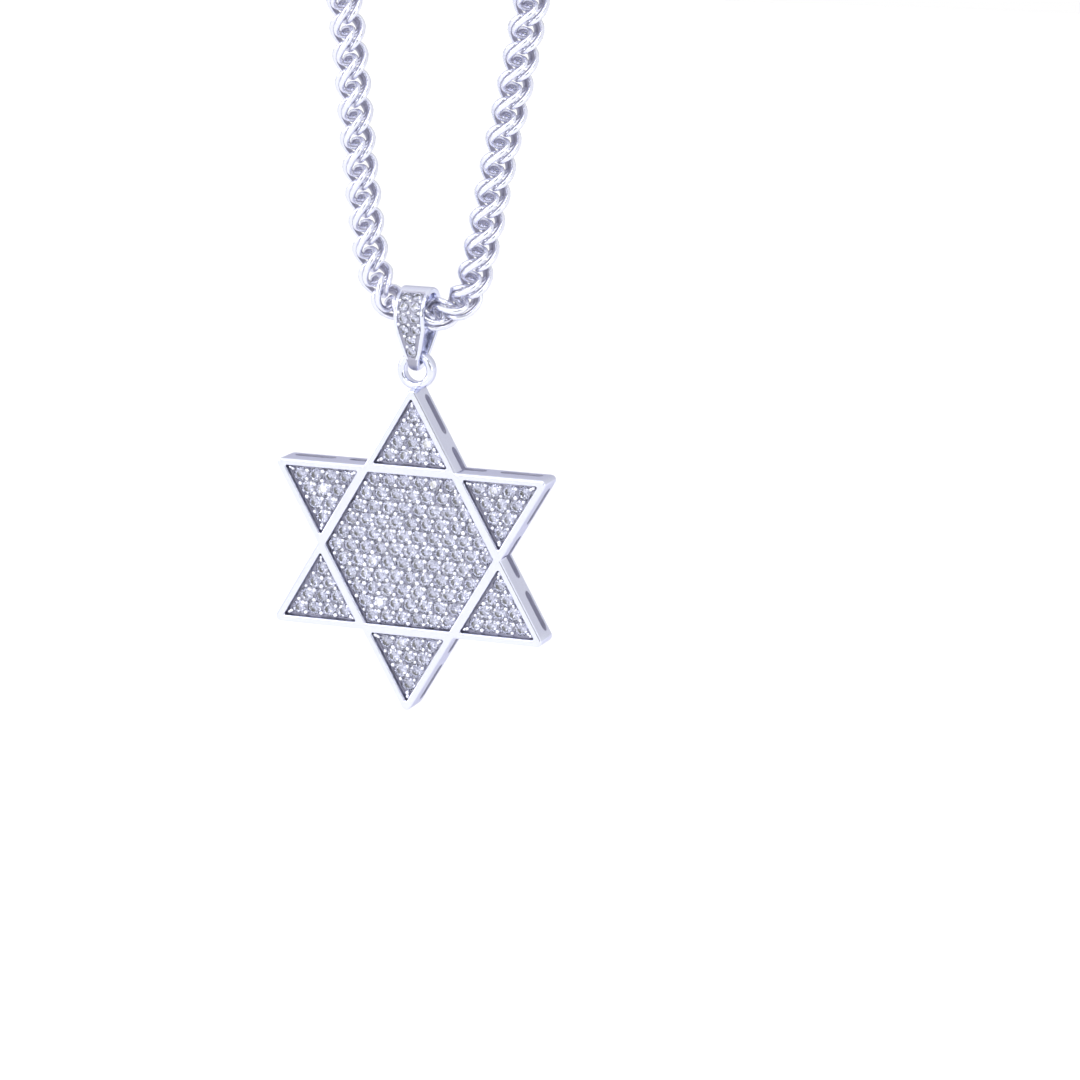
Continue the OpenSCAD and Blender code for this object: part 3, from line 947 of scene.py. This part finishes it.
# Each card is a direction, the cosines at its soft edge and its full part, and its brightness.
studio = {"white": 0.97, "backdrop": 1.03, "floor": -0.36, "floorSize": 6,
          "floorColor": (0.95, 0.95, 0.96), "floorRoughness": 0.9,
          "cards": [((0.345, -0.92, 0.214), 0.90, 0.97, 0.25),
                    ((0.78, -0.41, 0.47), 0.93, 0.975, 0.30),
                    ((-0.85, -0.2, -0.45), 0.90, 0.97, 0.45),
                    ((0.2, -0.5, -0.85), 0.86, 0.95, 0.45),
                    ((0.15, 0.93, 0.34), 0.866, 0.978, 0.86),
                    ((-0.31, 0.93, 0.26), 0.975, 0.993, 0.95)],
          "glints": [(-0.64, -0.76, -0.12), (-0.30, -0.90, 0.14), (-0.02, -0.92, -0.38),
                     (-0.40, -0.74, -0.55), (0.75, -0.55, -0.35), (0.20, -0.35, 0.92),
                     (-0.95, -0.10, 0.30), (-0.35, -0.15, -0.93), (0.55, -0.45, -0.70),
                     (-0.70, -0.30, 0.65), (0.90, -0.35, 0.05), (-0.85, -0.50, -0.20),
                     (0.45, -0.60, 0.66), (-0.10, -0.75, 0.65), (0.05, -0.55, 0.83),
                     (-0.60, -0.10, -0.79), (0.62, -0.70, 0.35), (0.35, -0.85, -0.40),
                     (-0.80, -0.58, 0.15), (0.02, -0.98, 0.20)],
          "glintEdge": 0.990, "glintFull": 0.996, "glintStrength": 5.0}


# A pale surround with soft darker cards and small bright spots for the metal to mirror.
def buildWorld():
    world = bpy.data.worlds.new("studioWorld")
    bpy.context.scene.world = world
    world.use_nodes = True
    tree = world.node_tree
    background = tree.nodes["Background"]
    place = addNode(tree, "ShaderNodeTexCoord")
    level = None
    spots = [(direction, studio["glintEdge"], studio["glintFull"], studio["glintStrength"])
             for direction in studio["glints"]]
    for direction, edge, full, bright in studio["cards"] + spots:
        dot = addNode(tree, "ShaderNodeVectorMath", operation="DOT_PRODUCT")
        dot.inputs[1].default_value = Vector(direction).normalized()
        tree.links.new(place.outputs["Generated"], dot.inputs[0])
        soft = addNode(tree, "ShaderNodeMapRange", interpolation_type="SMOOTHSTEP")
        soft.inputs["From Min"].default_value = edge
        soft.inputs["From Max"].default_value = full
        soft.inputs["To Min"].default_value = 1
        soft.inputs["To Max"].default_value = bright
        tree.links.new(dot.outputs["Value"], soft.inputs["Value"])
        if level is None:
            level = soft.outputs["Result"]
        else:
            times = addNode(tree, "ShaderNodeMath", operation="MULTIPLY")
            tree.links.new(level, times.inputs[0])
            tree.links.new(soft.outputs["Result"], times.inputs[1])
            level = times.outputs["Value"]
    # the cards and glints show in the metal and the stones, and the backdrop itself stays plain
    path = addNode(tree, "ShaderNodeLightPath")
    plain = addNode(tree, "ShaderNodeMix")
    plain.inputs["B"].default_value = studio["backdrop"]
    tree.links.new(path.outputs["Is Camera Ray"], plain.inputs["Factor"])
    tree.links.new(level, plain.inputs["A"])
    tree.links.new(plain.outputs["Result"], background.inputs["Strength"])
    background.inputs["Color"].default_value = (*[studio["white"]] * 3, 1)
    print("made the world with", len(studio["cards"]), "cards and", len(studio["glints"]), "glints")


# The plain pale floor.
def buildFloor():
    bpy.ops.mesh.primitive_plane_add(size=studio["floorSize"], location=(0, 0, studio["floor"]))
    floor = bpy.context.object
    floor.name = "paleFloor"
    material = bpy.data.materials.new("paleFloor")
    material.use_nodes = True
    shader = material.node_tree.nodes["Principled BSDF"]
    shader.inputs["Base Color"].default_value = (*studio["floorColor"], 1)
    shader.inputs["Roughness"].default_value = studio["floorRoughness"]
    floor.data.materials.append(material)
    floor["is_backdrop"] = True
    print("made the floor")


lights = {"key": {"place": (-0.25, -0.35, 0.15), "size": 0.30, "power": 0.25},
          "side": {"place": (0.40, -0.15, -0.10), "size": 0.22, "power": 0.12}}
lightAim = (0, 0, -0.26)


# Two soft area lights that face the star.
def buildLights():
    for name, values in lights.items():
        data = bpy.data.lights.new(name + "Light", "AREA")
        data.size = values["size"]
        data.energy = values["power"]
        obj = bpy.data.objects.new(name + "Light", data)
        bpy.context.scene.collection.objects.link(obj)
        obj.location = values["place"]
        aim = Vector(lightAim) - obj.location
        obj.rotation_euler = aim.to_track_quat("-Z", "Y").to_euler()
        print("made", obj.name)


# The photo's own viewpoint, solved from the star's tips and corners. Azimuth and elevation are
# those of the line from the picture's middle back to the camera. They and the roll are in degrees.
viewpoint = {"place": (96.77, -257.65, -205.21), "azimuth": -71.669, "elevation": 12.084,
             "roll": 1.386, "lens": 108.72, "sensor": 36, "clip": (0.01, 20)}


def buildCamera():
    data = bpy.data.cameras.new("camera")
    data.sensor_width = viewpoint["sensor"]
    data.lens = viewpoint["lens"]
    data.clip_start, data.clip_end = viewpoint["clip"]
    obj = bpy.data.objects.new("camera", data)
    bpy.context.scene.collection.objects.link(obj)
    pose = (Matrix.Rotation(math.radians(viewpoint["azimuth"] + 90), 4, "Z")
            @ Matrix.Rotation(math.radians(90 - viewpoint["elevation"]), 4, "X")
            @ Matrix.Rotation(math.radians(viewpoint["roll"]), 4, "Z"))
    pose.translation = Vector(viewpoint["place"]) * metre
    obj.matrix_world = pose
    bpy.context.scene.camera = obj
    print("made the camera")


# Prints the box of the CAD frame and that of the dressed part.
def writeSizes(before, after):
    print("sizes", [round(v, 5) for v in (*before[0], *before[1])],
          [round(v, 5) for v in (*after[0], *after[1])])


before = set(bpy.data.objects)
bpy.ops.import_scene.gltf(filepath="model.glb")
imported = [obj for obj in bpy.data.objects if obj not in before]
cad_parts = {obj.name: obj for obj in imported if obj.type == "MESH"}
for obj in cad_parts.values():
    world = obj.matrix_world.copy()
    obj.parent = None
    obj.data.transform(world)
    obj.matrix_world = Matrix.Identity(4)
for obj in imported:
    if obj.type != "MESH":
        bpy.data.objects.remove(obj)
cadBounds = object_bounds()
print("loaded the frame")
whiteMetal = metalMaterial("whiteMetal", metalLook)
bedShadeMetal = metalMaterial("bedShadeMetal", bedShadeLook)
insideShadeMetal = metalMaterial("insideShadeMetal", insideShadeLook)
grainHighlightMetal = metalMaterial("grainHighlightMetal", grainHighlightLook)
seatShadeMetal = metalMaterial("seatShadeMetal", seatShadeLook)
chainMetal = metalMaterial("chainMetal", chainLook)
chainShadeMetal = metalMaterial("chainShadeMetal", chainShadeLook)
clearStone = stoneMaterial("clearStone", stoneShadeLook)
print("made the materials")
buildStarFrame([whiteMetal, bedShadeMetal, insideShadeMetal, seatShadeMetal])
placeStones("middleStones", [starPlace(p) for p in fieldSpots()], stones["width"], "star",
            clearStone, ["middle_stones"], stones["seed"])
placeStones("pointStones", [starPlace(p) for k in range(6) for p in pointSpots(60 * k)],
            stones["width"], "star", clearStone, ["point_stones"], stones["seed"] + 1)
buildGrains(grainHighlightMetal)
buildTopRing(whiteMetal)
buildBail([whiteMetal, bedShadeMetal, insideShadeMetal])
placeStones("bailStones", [place for place, _ in bailStonePlaces()], bail["stone"], "bail",
            clearStone, ["bail_stones"], stones["seed"] + 2)
buildBailGrains(grainHighlightMetal)
buildChain([chainMetal, chainShadeMetal])
buildClasp(chainMetal)
buildWorld()
buildFloor()
buildLights()
buildCamera()
bpy.context.scene.view_settings.view_transform = "Standard"
writeSizes(cadBounds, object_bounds())
